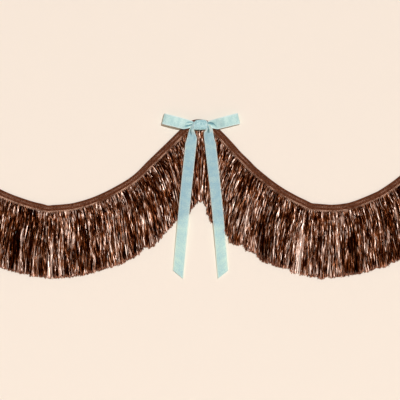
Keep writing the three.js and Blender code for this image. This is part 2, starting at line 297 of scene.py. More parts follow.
def grid_faces(rows, columns, ring_rows, ring_columns, first=0):
    faces = []
    for row in range(rows - (not ring_rows)):
        below = (row + 1) % rows
        for column in range(columns - (not ring_columns)):
            after = (column + 1) % columns
            corners = [(row, column), (below, column), (below, after), (row, after)]
            faces.append([first + r * columns + c for r, c in corners])
    return faces


def mesh_of(name, points, faces, flat):
    """A mesh with its faces turned outwards. flat holds each point's place on the cloth."""
    mesh = bpy.data.meshes.new(name)
    mesh.from_pydata([tuple(p) for p in points], [], faces)
    layer = mesh.uv_layers.new(name="cloth")
    loops = np.zeros(len(mesh.loops), np.int32)
    mesh.loops.foreach_get("vertex_index", loops)
    layer.data.foreach_set("uv", np.asarray(flat, np.float32)[loops].ravel())
    mesh.polygons.foreach_set("use_smooth", [True] * len(mesh.polygons))
    mesh.update()
    return mesh


def outwards(points, faces):
    """The faces of a closed shape, turned round if they enclose a negative volume."""
    points = np.asarray(points)
    volume = 0.0
    for face in faces:
        for i in range(1, len(face) - 1):
            a, b, c = points[face[0]], points[face[i]], points[face[i + 1]]
            volume += np.dot(a, np.cross(b, c))
    return faces if volume > 0 else [face[::-1] for face in faces]


SELVEDGE_ROUND = 0.35 * MM


def cloth_shell(name, middle, flat, thickness, material, ring_rows=False):
    """A closed strip of cloth round a grid of middle points, with thin rounded selvedges."""
    middle = np.asarray(middle, float)
    flat = np.asarray(flat, float)
    rows, columns = middle.shape[:2]
    if ring_rows:
        padded = np.concatenate([middle[-1:], middle, middle[:1]])
        along = np.gradient(padded, axis=0)[1:-1]
    else:
        along = np.gradient(middle, axis=0)
    across = np.gradient(middle, axis=1)
    normal = np.cross(along, across)
    normal /= np.linalg.norm(normal, axis=2, keepdims=True)
    from_edge = np.minimum(
        np.abs(flat[..., 0] - flat[:, :1, 0]), np.abs(flat[..., 0] - flat[:, -1:, 0])
    )
    near = np.clip(from_edge / SELVEDGE_ROUND, 0, 1)
    half = thickness / 2 * np.sqrt(1 - (1 - near) ** 2 * 0.75)
    front = middle + normal * half[..., None]
    back = middle - normal * half[..., None]
    points = np.concatenate([front.reshape(-1, 3), back.reshape(-1, 3)])
    count = rows * columns
    faces = grid_faces(rows, columns, ring_rows, False)
    faces += [face[::-1] for face in grid_faces(rows, columns, ring_rows, False, count)]
    for row in range(rows - (not ring_rows)):
        below = (row + 1) % rows
        for column, turned in ((0, False), (columns - 1, True)):
            a, b = row * columns + column, below * columns + column
            rim = [a, count + a, count + b, b]
            faces.append(rim[::-1] if turned else rim)
    if not ring_rows:
        for column in range(columns - 1):
            for row, turned in ((0, True), (rows - 1, False)):
                a, b = row * columns + column, row * columns + column + 1
                rim = [a, count + a, count + b, b]
                faces.append(rim[::-1] if turned else rim)
    places = np.concatenate([flat.reshape(-1, 2), flat.reshape(-1, 2)])
    mesh = mesh_of(name, points, outwards(points, faces), places)
    return new_piece(name, mesh, material)


def ramp(start, end, value):
    share = np.clip((value - start) / (end - start), 0, 1)
    return share * share * (3 - 2 * share)


def mix(start, end, share):
    return start + (end - start) * share


# %% [markdown]
# ## Finish: metallised film
# The strands are thin brown film with a mirror-like metal layer, crinkled so that each one
# breaks the light into short dashes. The crinkle is real geometry. The material adds what is
# finer, and much of it is painted light: strands of slightly different brown, painted glints as
# pale dashes where a crease would catch the light, painted shade on the strands that hang further
# back, painted highlights and painted shade on listed locks, a slightly paler tone at the heading,
# and redder brown at the cut ends.


# %% Film material
def new_material(name):
    material = bpy.data.materials.new(name)
    material.use_nodes = True
    material.node_tree.nodes.clear()
    return material, Board(material.node_tree)


def attribute(board, name):
    return board.wire("ShaderNodeAttribute", "Fac", {"attribute_name": name})


def mix_colour(board, share, first, second):
    node = board.add("ShaderNodeMix", {"data_type": "RGBA"})
    board.plug(node.inputs["Factor"], share)
    sockets = [s for s in node.inputs if s.type == "RGBA"]
    board.plug(sockets[0], first)
    board.plug(sockets[1], second)
    return Wire(board, next(s for s in node.outputs if s.type == "RGBA"))


def principled(board, inputs):
    return board.wire("ShaderNodeBsdfPrincipled", 0, None, inputs)


def finish_with(board, shader):
    board.add("ShaderNodeOutputMaterial", None, {"Surface": shader})


# The ramp of film colours: its near-black end is painted shade between strands, its cream end a
# painted highlight, and the browns of the film lie between them
FILM_TONES_AND_PAINTED_LIGHT = (
    (0.0, (0.0015, 0.0, 0.0)),
    (0.26, (0.021, 0.0022, 0.0002)),
    (0.50, (0.099, 0.0222, 0.0045)),
    (0.74, (0.295, 0.123, 0.062)),
    (1.0, (0.83, 0.60, 0.49)),
)
FILM_MIDDLE = 0.30
FILM_CONTRAST = 0.85
CUT_END = (0.42, 0.17, 0.10, 1.0)
SPECULAR_TINT = (0.6, 0.25, 0.12, 1.0)


def film_material():
    material, board = new_material("brown metallised film")
    number = attribute(board, "strand")
    down = attribute(board, "down")
    place = attribute(board, "lock_place")
    one_value = {"noise_dimensions": "1D"}
    chance = board.wire("ShaderNodeTexWhiteNoise", "Value", one_value, {"W": number})
    rank = attribute(board, "rank")
    shine = attribute(board, "shine")
    locks = board.noise(place * 0.22, down * 1.0)
    wisps = board.noise(place * 0.85, down * 3.6 + 20.0)
    streaks = board.noise(number * 3.7, down * 3.4 + 40.0)
    painted_glints = board.noise(number * 5.3, down * 13.0, 2.0)
    # Each kind of variation is centred on 0, and its factor says how strongly it tells. The noises
    # give strands and locks their own tone and also paint the film's bright and dark reflections.
    # The finest noise paints glints as pale dashes, the strand's depth paints shade on the strands
    # further back, and the shine term paints the listed locks lighter or darker.
    light = (
        (locks - 0.5) * 0.9
        + (wisps - 0.5) * 1.7
        + (streaks - 0.5) * 2.2
        + (painted_glints - 0.5) * 1.2
        + (chance - 0.5) * 0.6
        + (rank - 0.6) * 0.4
        + shine
    )
    near_root = board.step(down, 0.13, 0.03) * 0.06
    place_on_ramp = light * FILM_CONTRAST + near_root + FILM_MIDDLE
    tone = board.wire(
        "ShaderNodeValToRGB", "Color", {"stops": FILM_TONES_AND_PAINTED_LIGHT}, {"Fac": place_on_ramp}
    )
    tone = mix_colour(board, board.step(down, 0.975, 1.0) * 0.45, tone, CUT_END)
    surface = {
        "Base Color": tone,
        "Metallic": 0.6,
        "Roughness": 0.4,
        "Specular IOR Level": 0.05,
        "Specular Tint": SPECULAR_TINT,
    }
    finish_with(board, principled(board, surface))
    return material


film = film_material()
print("film material:", len(film.node_tree.nodes), "nodes")

# %% [markdown]
# ## Fringe
# Tinsel fringe is several thousand strands fused to a heading tape. Hair curves would look
# right but have no solid, and copying a strand by hand would give no control, so a Geometry
# Nodes tree does it: points along the header's line, one thin closed prism on each, and then
# one formula that bends every prism. A strand leaves the heading nearly square to it, falls
# towards straight down, gathers with its neighbours in locks, and is crinkled and twisted on
# the way.

# %% Fringe sizes
STRAND_LENGTH = 92.8 * MM
STRAND_PITCH = 0.12 * MM
STRAND_STEPS = 15

# The inputs of the strand tree. Each run sets its own count of strands and its own seed
STRAND_SIZES = {
    "Strands": 0,
    "Length": STRAND_LENGTH,
    "Spread": 1.9 * MM,
    "Width": 1.1 * MM,
    "Ridge": 0.3 * MM,
    "Back": 0.9 * MM,
    "Front": 5.1 * MM,
    "Crinkle": 0.8 * MM,
    "Sway": 1.3 * MM,
    "Tip shift": 10 * MM,
    "Lock size": 9 * MM,
    "Lock pitch": 14 * MM,
    "Lock relief": 1.5 * MM,
    "Seed": 0,
    "Film": film,
}
ROOT_RISE = -4.2 * MM
ROOT_DEPTH = 1.2 * MM
NEAREST_WALL = 0.15 * MM
FARTHEST_OUT = 6.4 * MM
KNEE_SHARE = 0.3
ROOT_LEAN_SHARE = 0.72
ROOT_LEAN_SPREAD = 0.24
MEAN_LEAN_SHARE = 0.37
TIP_LEAN_SPREAD = 0.07
HELD_SHARE = 0.5
LOCK_BEAT = 0.62
BAKE_COLUMNS = 160
BAKE_ROWS = 13

# %% [markdown]
# ## Helpers for Geometry Nodes
# A tree takes the header's line and one input for each of its sizes. What the banner repeats is
# always made in the same way: points along the line, a copy of a small shape on each, all copies
# made real, and then a material.


# %% Geometry helpers
def new_tree(name, sizes):
    """A tree with an input for the header's line and one for each size."""
    tree = bpy.data.node_groups.new(name, "GeometryNodeTree")
    kinds = {"Header line": "Geometry"}
    for label, value in sizes.items():
        kinds[label] = {int: "Int", float: "Float"}.get(type(value), "Material")
    sockets = {}
    for label, kind in kinds.items():
        kind = "NodeSocket" + kind
        socket = tree.interface.new_socket(name=label, in_out="INPUT", socket_type=kind)
        sockets[label] = socket.identifier
    tree.interface.new_socket(name="Pieces", in_out="OUTPUT", socket_type="NodeSocketGeometry")
    board = Board(tree)
    entry = board.add("NodeGroupInput")
    given = {label: Wire(board, entry.outputs[label]) for label in kinds}
    return tree, board, given, sockets


def geometry(board, kind, inputs):
    return board.wire("GeometryNode" + kind, 0, None, inputs)


def named(board, name, kind="FLOAT"):
    return board.wire(
        "GeometryNodeInputNamedAttribute", "Attribute", {"data_type": kind}, {"Name": name}
    )


def store(board, shape, name, value, kind="FLOAT", domain="POINT"):
    settings = {"data_type": kind, "domain": domain}
    inputs = {"Geometry": shape, "Name": name, "Value": value}
    return board.wire("GeometryNodeStoreNamedAttribute", 0, settings, inputs)


def line_points(board, given, mode, label, value):
    """Points along the header's line: so many of them, or so far apart."""
    line = geometry(board, "MeshToCurve", {"Mesh": given["Header line"]})
    inputs = {"Curve": line, label: value}
    return board.wire("GeometryNodeCurveToPoints", "Points", {"mode": mode}, inputs)


def numbered(board, points, name):
    """Each point keeps its number and its place, for the copy that grows on it."""
    points = store(board, points, name, geometry(board, "InputIndex", {}))
    return store(board, points, "root", geometry(board, "InputPosition", {}), "FLOAT_VECTOR")


def unit_prism(board, sides, steps):
    """A prism of unit size whose points keep their place in it."""
    sizes = {"Vertices": sides, "Side Segments": steps, "Radius": 1.0, "Depth": 1.0}
    prism = board.add("GeometryNodeMeshCylinder", {"fill_type": "NGON"}, sizes)
    position = geometry(board, "InputPosition", {})
    unit = store(board, Wire(board, prism.outputs["Mesh"]), "unit", position, "FLOAT_VECTOR")
    return unit, Wire(board, prism.outputs["UV Map"])


def copies(board, points, shape, **placing):
    made = geometry(board, "InstanceOnPoints", {"Points": points, "Instance": shape, **placing})
    return geometry(board, "RealizeInstances", {"Geometry": made})


def moved_to(board, shape, x, y, z):
    return geometry(board, "SetPosition", {"Geometry": shape, "Position": board.combine(x, y, z)})


def finish_tree(board, shape, smooth, material):
    shape = geometry(board, "SetShadeSmooth", {"Geometry": shape, "Shade Smooth": smooth})
    shape = geometry(board, "SetMaterial", {"Geometry": shape, "Material": material})
    board.add("NodeGroupOutput", None, {"Pieces": shape})


def white(board, first, second):
    """Three numbers from 0 to 1 that jump from one pair of values to the next."""
    pair = {"Vector": board.combine(first, second, 0.0)}
    colour = board.wire("ShaderNodeTexWhiteNoise", "Color", {"noise_dimensions": "2D"}, pair)
    return board.split(colour)


def between(board, start, end, share):
    """The point at this share of the way between two points."""
    way = board.vector("SUBTRACT", end, start)
    scaled = board.wire(
        "ShaderNodeVectorMath", 0, {"operation": "SCALE"}, {0: way, "Scale": share}
    )
    return board.vector("ADD", start, scaled)


def down_from(board, root, lean, length, shift=0.0):
    """The point this far below the root, on a line that leans by this angle."""
    way = board.combine(lean.sin() * length + shift, 0.0, -(lean.cos() * length))
    return board.vector("ADD", root, way)


# %% [markdown]
# ## The strand tree
# Each strand is a three-sided prism. Its middle line is a smooth curve through its root, a knee
# and its tip. Random numbers from its own number vary it, and noise along the header gives
# neighbours the same drift, which is what gathers them in locks. What the material needs to
# know is stored on the way: how far down a point is, and which strand and lock it belongs to.


# %% Strand tree
def strand_tree():
    tree, board, given, sockets = new_tree("film strands", STRAND_SIZES)
    points = line_points(board, given, "COUNT", "Count", given["Strands"])
    points = numbered(board, points, "strand")
    unit, wrap = unit_prism(board, 3, STRAND_STEPS)
    unit = store(board, unit, "wrap", wrap, "FLOAT2", "CORNER")
    strands = copies(board, points, unit)

    number = named(board, "strand")
    root = named(board, "root", "FLOAT_VECTOR")
    lean = named(board, "lean")
    held = named(board, "held")
    along = named(board, "along")
    across, side, height = board.split(named(board, "unit", "FLOAT_VECTOR"))
    down = 0.5 - height
    row = (down * STRAND_STEPS + 0.5).math("FLOOR")
    left_right = side / math.sin(math.radians(120))
    to_ridge = (across + 0.5) / 1.5

    # Each call draws three numbers, and what is added to the seed keeps the draws apart
    seed = given["Seed"] * 0.731
    one, two, three = white(board, number, seed + 11.0)
    four, five, six = white(board, number, seed + 23.0)
    jump_x, jump_y, jump_turn = white(board, number + 0.37, row + seed + 41.0)

    lock = board.noise(along / given["Lock size"], seed) - 0.5
    fine_lock = board.noise(along / given["Lock size"] * 2.7, seed + 7.0) - 0.5
    clump = board.noise(along / given["Lock size"] * 3.4, seed + 13.0) - 0.5
    length = given["Length"] + given["Spread"] * (one * 2.0 - 1.0 + clump * 2.0)
    length = length + named(board, "extra")
    root_lean = lean * ROOT_LEAN_SHARE + (two - 0.5) * ROOT_LEAN_SPREAD
    tip_lean = lean * MEAN_LEAN_SHARE + (three - 0.5) * TIP_LEAN_SPREAD * held
    shift = given["Tip shift"] * (lock + fine_lock * 0.4) * held + named(board, "parting")
    knee = down_from(board, root, root_lean, length * KNEE_SHARE)
    tip = down_from(board, root, tip_lean, length, shift)
    spine = between(
        board, between(board, root, knee, down), between(board, knee, tip, down), down
    )
    spine_x, _, spine_z = board.split(spine)

    loose = board.step(down, 0.0, 0.2)
    beat = along / given["Lock pitch"] * (2 * math.pi)
    wave = (beat.sin() + (beat * LOCK_BEAT).sin()) * 0.5
    relief = given["Lock relief"] * 0.5 * wave
    tip_depth = mix(given["Back"], given["Front"], four) + relief
    root_depth = ROOT_DEPTH + (four - 0.5) * ROOT_DEPTH
    depth = mix(root_depth, tip_depth, board.step(down, 0.0, 0.55))
    sway = (down * (three * 6.0 + 3.0) + four * 6.28).sin() * given["Sway"] * loose
    crinkle_x = (jump_x - 0.5) * given["Crinkle"] * loose + sway
    crinkle_y = (jump_y - 0.5) * given["Crinkle"] * loose
    turn = (
        (five - 0.5) * 1.1
        + (jump_turn - 0.5) * 0.7 * loose
        + (lock + fine_lock) * 1.8
        + (six - 0.5) * down * 1.0
    )
    half = given["Width"] / 2.0 * (0.7 + six * 0.6) * (0.6 + 0.4 * loose)
    ridge = given["Ridge"] * to_ridge
    x = spine_x + crinkle_x + turn.cos() * half * left_right + turn.sin() * ridge
    y = -depth + crinkle_y + turn.sin() * half * left_right - turn.cos() * ridge
    y = y.at_most(-NEAREST_WALL).at_least(-FARTHEST_OUT)
    strands = moved_to(board, strands, x, y, spine_z)

    # Painted highlight or painted shade of the listed locks, the upper half blending into the lower
    shine = mix(
        named(board, "shine_high"), named(board, "shine_low"), board.step(down, 0.35, 0.6)
    )
    strands = store(board, strands, "down", down)
    # How far forward the strand hangs, which the film uses to paint shade on the strands further
    # back
    strands = store(board, strands, "rank", four)
    strands = store(board, strands, "shine", shine)
    strands = store(board, strands, "lock_place", (along + shift * 0.3 * down) / MM)
    bake = bake_place(board, number, named(board, "wrap", "FLOAT_VECTOR"))
    strands = store(board, strands, "OFBake", bake, "FLOAT2", "CORNER")
    finish_tree(board, strands, False, given["Film"])
    return tree, sockets


def bake_place(board, number, wrap):
    """A tile of the bake's picture for each strand, with its sides and ends spread in it."""
    wrap_u, wrap_v, _ = board.split(wrap)
    column = number.math("FLOORED_MODULO", BAKE_COLUMNS)
    row = (number / BAKE_COLUMNS).math("FLOOR")
    sides = wrap_v * 0.08 + (wrap_v - 0.5).at_least(0.0) * 1.84
    bake_u = (column + wrap_u * 0.92 + 0.04) / BAKE_COLUMNS
    bake_v = (row + sides * 0.98 + 0.01) / BAKE_ROWS
    return board.combine(bake_u, bake_v, 0.0)


film_strands = strand_tree()
print("strand tree:", len(film_strands[0].nodes), "nodes")

# %% [markdown]
# ## What differs along the header
# No two parts of a real fringe hang alike. These tables say where it parts, where its hem is
# longer or shorter, and which locks get a painted highlight or painted shade in their colour. All
# places and lengths in them are millimetres across the banner.

# %% Tables along the header
# Each parting: its place, how far it reaches and how far it pushes the tips apart
PARTINGS = (
    (-143, 4, 3.0), (-101, 4, 3.0), (140, 3, 2.0), (152, 4, 3.5),
)

# Locks in the fringe's upper and lower half: place, half width and how much lighter, as a
# painted highlight (positive) or painted shade (negative)
HIGH_LOCKS = (
    (-253, 6, -0.32), (-240, 4, -0.25), (-231, 5, -0.32), (-221, 1.3, 0.35), (-208, 4, -0.2),
    (-198, 4, 0.15), (-190, 3, 0.30), (-181, 3, 0.1), (-176, 4, -0.2), (-156, 5, -0.18),
    (-128, 9, 0.24), (-79, 6, -0.25), (-60, 8, -0.15), (-3, 1.5, 0.5), (70, 12, -0.12),
    (91, 5, -0.18), (141, 4, -0.2), (148, 5, 0.2), (165, 6, 0.25), (188, 3, 0.4), (196, 6, 0.2),
    (218, 5, -0.12), (242, 14, -0.22), (276, 8, -0.45),
)
LOW_LOCKS = (
    (-276, 5, -0.2), (-266, 1.6, 0.75), (-251, 6, -0.45), (-242, 1.3, 0.8), (-231, 4, -0.22),
    (-221, 1.2, 0.5), (-212, 1.8, 0.4), (-198, 4, 0.35), (-176, 4, -0.2), (-176, 1.2, 0.3),
    (-166, 3.5, -0.4), (-135, 9, 0.2), (-131, 1.6, 0.4), (-112, 9, -0.12), (-108, 4, -0.2),
    (-92, 5, 0.15), (68, 6, 0.15), (84, 1.5, 0.5), (96, 8, 0.24), (110, 5, -0.15),
    (120, 2, 0.5), (139, 1.0, 0.6), (150, 5, 0.3), (151.5, 1.2, 1.2), (155, 3.5, 0.12),
    (180, 16, 0.12), (190, 2, 0.3), (207, 4, -0.4), (219, 4, 0.25), (250, 6, -0.15),
    (276, 8, -0.2),
)

# How much longer the strands that are rooted here hang
EXTRA_LENGTH = (
    (-262, 0.5), (-240, -1.2), (-222, -1.5), (-212, -1.2), (-200, -0.5), (-180, -1.0),
    (-150, -1.0), (-134, 0.0), (-127, 1.0), (-120, 0.0), (-111, 1.0), (-104, -3.0), (-98, -5.0),
    (-94, 1.0), (-90, -1.0), (-84, -4.0), (-78, -6.5), (-72, -4.5), (-64, -7.0), (-54, -1.0),
    (-30, 4.0), (-20, 6.0), (-12, 3.2), (-3, 10.5), (3, 12.5), (8, 4.0), (14, 6.0), (30, 4.5),
    (44, 8.0), (49, 8.5), (54, -10.0), (60, -9.0), (66, 0.0), (74, 7.0), (80, 8.0), (85, -1.2),
    (92, 3.0), (99, 0.5), (104, 1.5), (111, 6.5), (116, 2.5), (126, 1.5), (136, -2.0),
    (141, -4.5), (145, -3.5), (150, -1.5), (154, 0.5), (160, -1.0), (166, -2.5), (172, 1.5),
    (180, -1.8), (200, -2.0), (220, -3.0), (232, -2.0), (240, 1.0), (250, 0.3), (266, -3.5),
    (280, -5.0),
)


def shine_of(x, locks):
    total = np.zeros_like(x)
    for place, half_width, lift in locks:
        total += lift * np.exp(-(((x - place * MM) / (half_width * MM)) ** 2))
    return total


def parted(x):
    """How far a strand's tip is pushed aside by the open partings near it."""
    shift = np.zeros_like(x)
    for place, reach, push in PARTINGS:
        gap = x - place * MM
        shift += np.sign(gap) * push * MM * np.exp(-np.abs(gap) / (reach * MM))
    return shift


def held_at(x, slope):
    """1 where a strand may swing in as it likes, less where it would cross the middle."""
    shift = np.abs(np.sin(slope * MEAN_LEAN_SHARE)) * STRAND_LENGTH
    return np.clip(HELD_SHARE * np.abs(x) / np.maximum(shift, 1e-6), 0.3, 1)


# %% Grow the fringe
def header_mesh(name, start, end, rise, depth):
    """A line along the header that carries what the strands need to know about it."""
    count = int(abs(end - start) / MM) + 2
    along = np.linspace(start, end, count)
    mesh = bpy.data.meshes.new(name)
    points = [tuple(point) for point in off_header(along, rise, depth)]
    mesh.from_pydata(points, [(i, i + 1) for i in range(count - 1)], [])
    x, _, slope = on_header(along)
    held = held_at(x, slope)
    carried = {
        "along": along,
        "slope": slope,
        "lean": slope * held,
        "held": held,
        "parting": parted(x),
        "extra": read_table(EXTRA_LENGTH, x),
        "shine_high": shine_of(x, HIGH_LOCKS),
        "shine_low": shine_of(x, LOW_LOCKS),
    }
    for label, values in carried.items():
        layer = mesh.attributes.new(label, "FLOAT", "POINT")
        layer.data.foreach_set("value", values.astype(np.float32))
    return mesh


def grown(name, mesh, made_tree, sizes):
    """Runs a tree on a mesh and keeps the result as a plain piece."""
    tree, sockets = made_tree
    seedling = bpy.data.objects.new(name, mesh)
    bpy.context.scene.collection.objects.link(seedling)
    modifier = seedling.modifiers.new("grow", "NODES")
    modifier.node_group = tree
    for label, value in sizes.items():
        modifier[sockets[label]] = value
    bpy.context.view_layer.update()
    evaluated = seedling.evaluated_get(bpy.context.evaluated_depsgraph_get())
    result = bpy.data.meshes.new_from_object(evaluated)
    seedling.modifiers.remove(modifier)
    seedling.data = result
    return seedling


def grow_fringe(node, start, end, seed):
    count = int(abs(end - start) / STRAND_PITCH)
    mesh = header_mesh(node + "_line", start, end, ROOT_RISE, BINDING_THICKNESS / 2)
    sizes = {**STRAND_SIZES, "Strands": count, "Seed": seed}
    piece = grown(node + "_strands", mesh, film_strands, sizes)
    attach(piece, "banner")
    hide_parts(node)
    print(piece.name, count, "strands,", len(piece.data.polygons), "faces")


HEM = 1.5 * MM
for node, start, end, seed in (
    ("fringe_left_outer", LEFT_END + HEM, LEFT_DIP, 3),
    ("fringe_left_inner", LEFT_DIP, 0.0, 4),
    ("fringe_right_inner", 0.0, RIGHT_DIP, 5),
    ("fringe_right_outer", RIGHT_DIP, RIGHT_END - HEM, 6),
):
    grow_fringe(node, start, end, seed)

# %% [markdown]
# ## Finish: woven tape
# The binding is a dark brown tape woven in a fine twill, so faint streaks run across it at a
# slant. The pattern reads the tape's own UV map, whose first number is the distance across the
# tape and whose second is the distance along it.


# %% Tape material
def cloth_places(board):
    """Distance across and along the cloth, in millimetres."""
    place = board.wire("ShaderNodeUVMap", 0, {"uv_map": "cloth"})
    across, along, _ = board.split(place)
    return across / MM, along / MM


def noise_of(board, vector, scale, detail=2.0, roughness=0.5):
    inputs = {"Vector": vector, "Scale": scale, "Detail": detail, "Roughness": roughness}
    return board.wire("ShaderNodeTexNoise", "Fac", {"noise_dimensions": "3D"}, inputs)


def bump_of(board, height, strength, distance):
    inputs = {"Strength": strength, "Distance": distance, "Height": height}
    return board.wire("ShaderNodeBump", 0, None, inputs)


TAPE_DARK_SPECK = (0.040, 0.009, 0.002, 1.0)
TAPE_DARK = (0.066, 0.0150, 0.0035, 1.0)
TAPE_BROWN = (0.122, 0.036, 0.0135, 1.0)
TAPE_LIGHT = (0.24, 0.105, 0.060, 1.0)


def tape_material():
    material, board = new_material("dark brown woven tape")
    across, along = cloth_places(board)
    twill = ((along + across * 1.3) * 5.2).sin() * 0.5 + 0.5
    rib = (across * 9.0 + along * 2.0).sin() * 0.5 + 0.5
    cloud = noise_of(board, board.combine(across * 0.35, along * 0.3, 0.0), 1.0, 2.0)
    slant = board.combine(along * 0.55 + across * 0.5, across * 0.16, 3.0)
    streak = noise_of(board, slant, 1.0, 3.0)
    shade = board.step(cloud * 0.5 + streak * 0.8 + twill * 0.06, 0.52, 0.80)
    colour = mix_colour(board, shade, TAPE_DARK, TAPE_BROWN)
    fleck = noise_of(board, board.combine(across * 0.9 + along * 0.3, along * 0.6, 7.0), 1.0, 2.0)
    # Pale and dark flecks scattered at random by noise
    pale_fleck = board.step(fleck * 0.9 + cloud * 0.5, 0.74, 0.90)
    colour = mix_colour(board, pale_fleck * 0.8, colour, TAPE_LIGHT)
    dark_speck = board.step(fleck * 0.9 + cloud * 0.3, 0.50, 0.40)
    colour = mix_colour(board, dark_speck * 0.8, colour, TAPE_DARK_SPECK)
    surface = {
        "Base Color": colour,
        "Roughness": 0.72 + twill * 0.12,
        "Specular IOR Level": 0.08,
        "Normal": bump_of(board, twill * 0.6 + rib * 0.4, 0.5, 0.12 * MM),
    }
    finish_with(board, principled(board, surface))
    return material


tape = tape_material()
print("tape material:", len(tape.node_tree.nodes), "nodes")

# %% [markdown]
# ## Binding
# The tape is folded over the heading, so its section is a narrow U that is open below. It is
# swept along the header as one closed solid. At both ends the tape is turned in, which closes
# the U. The stitches pull it in a little, so its face and lower edge are never quite even.

# %% Binding
TAPE_WALL = 0.45 * MM
TURNED_IN = 1.2 * MM
TAPE_STATION = 1.5 * MM
FOLD_STEPS = 8
DRIFT_SPACING = 7 * MM
DRIFT_SIZE = 0.14 * MM
DRIFT_MARGIN = 20 * MM


def tape_section(inset):
    """[rise, depth] round the folded tape, from the back's lower edge over the fold."""
    half = BINDING_WIDTH / 2 - inset
    wall = (BINDING_THICKNESS - 2 * inset) / 2
    middle = BINDING_THICKNESS / 2
    turn = np.linspace(0, math.pi, FOLD_STEPS)
    fold = np.stack([half - wall + np.sin(turn) * wall, middle - np.cos(turn) * wall], -1)
    rises = np.linspace(-BINDING_WIDTH / 2, half - wall, 6)[:-1]
    back = np.stack([rises, np.full_like(rises, middle - wall)], -1)
    front = np.stack([rises[::-1], np.full_like(rises, middle + wall)], -1)
    return np.concatenate([back, fold, front])


def make_binding():
    stations = np.arange(LEFT_END, RIGHT_END, TAPE_STATION)
    stations = np.append(stations, RIGHT_END)
    outer, inner = tape_section(0.0), tape_section(TAPE_WALL)
    section = np.concatenate([outer, inner[::-1]])
    distance = travelled(np.hypot(*np.diff(outer, axis=0).T))
    middle = BINDING_THICKNESS / 2
    random = np.random.default_rng(11)
    places = np.arange(LEFT_END, RIGHT_END + DRIFT_MARGIN, DRIFT_SPACING)
    drift = np.interp(stations, places, random.normal(0, 1, len(places))) * DRIFT_SIZE
    points, flat = [], []
    for along, bend in zip(stations, drift):
        end = min(along - LEFT_END, RIGHT_END - along)
        closed = 1 - ramp(0.6 * TURNED_IN, TURNED_IN, end)
        for index, (rise, depth) in enumerate(section):
            inside = index >= len(outer)
            if inside:
                depth = mix(depth, middle + (depth - middle) * 0.02, closed)
            out = bend * (depth > middle) * (rise < 3.5 * MM)
            edge = bend * (rise < -4 * MM)
            points.append(off_header([along], rise + edge, depth + out)[0])
            place = distance[index] if not inside else distance[2 * len(outer) - 1 - index]
            flat.append((place - distance[-1] / 2, along))
    rows, columns = len(stations), len(section)
    faces = grid_faces(rows, columns, False, True)
    faces.append(list(range(columns)))
    faces.append([(rows - 1) * columns + c for c in reversed(range(columns))])
    mesh = mesh_of("binding_tape", points, outwards(points, faces), flat)
    piece = new_piece("binding_tape", mesh, tape)
    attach(piece, "banner")
    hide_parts(*BINDING_NODES)
    return piece, float(distance[-1])


binding, tape_width = make_binding()
print("binding:", len(binding.data.polygons), "faces")

# %% [markdown]
# ## Stitches
# A chain stitch closes the fold, and a second one runs along the tape's face in a darker
# thread. Below the tape, short bent bars of a pale pinkish tan wrap the strands' roots. All
# three rows repeat along the header, so one tree sets the bars and another sets the links.

# %% Thread material
THREAD_SHADE = (0.15, 0.055, 0.026, 1.0)
THREAD_TAN = (0.90, 0.57, 0.41, 1.0)
FACE_THREAD_SHADE = (0.080, 0.022, 0.008, 1.0)
FACE_THREAD_TAN = (0.46, 0.25, 0.17, 1.0)


def thread_material(name, shade, tan):
    material, board = new_material(name)
    place = board.wire("ShaderNodeTexCoord", "Object")
    speck = noise_of(board, place, 900.0, 2.0)
    patch = noise_of(board, place, 60.0, 2.0)
    share = board.step(speck * 0.5 + patch * 0.8, 0.50, 0.80)
    surface = {
        "Base Color": mix_colour(board, share, shade, tan),
        "Roughness": 0.6,
        "Specular IOR Level": 0.2,
        "Normal": bump_of(board, speck, 0.4, 0.1 * MM),
    }
    finish_with(board, principled(board, surface))
    return material


thread = thread_material("pale tan thread", THREAD_SHADE, THREAD_TAN)
face_thread = thread_material("brown thread", FACE_THREAD_SHADE, FACE_THREAD_TAN)

BAR_SIZES = {
    "Pitch": 1.7 * MM,
    "Length": 1.9 * MM,
    "Radius": 0.3 * MM,
    "Bow": 0.55 * MM,
    "Seed": 5,
    "Thread": thread,
}
FACE_CHAIN = {
    "Pitch": 2.6 * MM,
    "Link length": 3.2 * MM,
    "Link height": 1.6 * MM,
    "Thread size": 0.28 * MM,
    "Seed": 7,
    "Thread": face_thread,
}
EDGE_CHAIN = {
    "Pitch": 2.2 * MM,
    "Link length": 2.8 * MM,
    "Link height": 1.0 * MM,
    "Thread size": 0.3 * MM,
    "Seed": 8,
    "Thread": thread,
}
BAR_SIDES = 5
BAR_STEPS = 6
BAR_STRAY = 0.6 * MM
LINK_SIDES = 10
THREAD_SIDES = 4
print("threads:", thread.name, "and", face_thread.name)


# %% Stitch tree
def stitch_tree():
    tree, board, given, sockets = new_tree("stitches", BAR_SIZES)
    points = line_points(board, given, "LENGTH", "Length", given["Pitch"])
    points = numbered(board, points, "stitch")
    bar, _ = unit_prism(board, BAR_SIDES, BAR_STEPS)
    stitches = copies(board, points, bar)
    number = named(board, "stitch")
    slope = named(board, "slope")
    root_x, root_y, root_z = board.split(named(board, "root", "FLOAT_VECTOR"))
    unit_x, unit_y, height = board.split(named(board, "unit", "FLOAT_VECTOR"))
    one, two, three = white(board, number, given["Seed"] * 1.0)
    lean = slope + (one - 0.5) * 0.7
    reach = given["Length"] * (0.65 + two * 0.6)
    fall = (0.5 - height) * reach
    arch = given["Bow"] * (1.0 - height * height * 4.0)
    slim = given["Radius"] * (0.8 + three * 0.4)
    side = unit_x * slim + (two - 0.5) * BAR_STRAY
    x = root_x + lean.sin() * fall + lean.cos() * side
    z = root_z - lean.cos() * fall + lean.sin() * side
    y = root_y - arch + unit_y * slim
    stitches = moved_to(board, stitches, x, y, z)
    finish_tree(board, stitches, True, given["Thread"])
    return tree, sockets


bar_stitches = stitch_tree()
print("stitch tree:", len(bar_stitches[0].nodes), "nodes")


# %% Chain stitch tree
def circle(board, sides, radius):
    return geometry(board, "CurvePrimitiveCircle", {"Resolution": sides, "Radius": radius})


